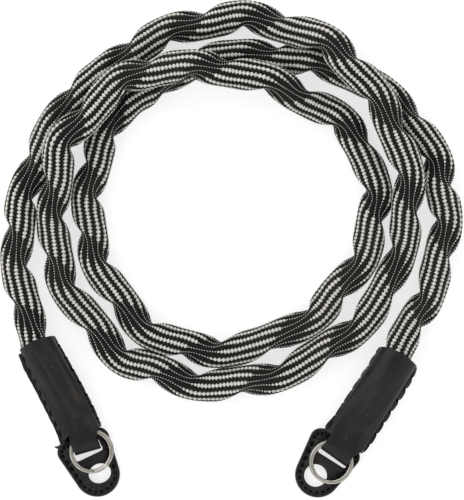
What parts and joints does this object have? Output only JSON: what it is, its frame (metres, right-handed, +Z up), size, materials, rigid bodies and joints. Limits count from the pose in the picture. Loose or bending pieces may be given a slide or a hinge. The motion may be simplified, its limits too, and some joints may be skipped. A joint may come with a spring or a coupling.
{
  "type": "camera strap",
  "caption": "Round braided camera strap lying coiled, with a leather sleeve, a split ring and a leather protector patch on each end.",
  "frame": {"origin": "on the surface the strap lies on, under the centre of its box", "axes": "+Z up off the surface; +Y from the leather ends towards the far side of the coil, the strap's longest side; +X to the right seen from above"},
  "size_m": [0.154, 0.166, 0.0197],
  "materials": {
    "white_yarn": "matt spun yarn, off-white",
    "black_yarn": "matt spun yarn, black",
    "sleeve_leather": "satin black leather with fine creases",
    "patch_leather": "matt black leather with a stitched border",
    "thread": "black waxed sewing thread",
    "ring_steel": "polished steel wire"
  },
  "bodies": {
    "root": {"braided_cord": "white_yarn", "left_sleeve": "sleeve_leather", "right_sleeve": "sleeve_leather", "left_protector": "patch_leather", "right_protector": "patch_leather", "left_split_ring": "ring_steel", "right_split_ring": "ring_steel"}
  },
  "joints": []
}
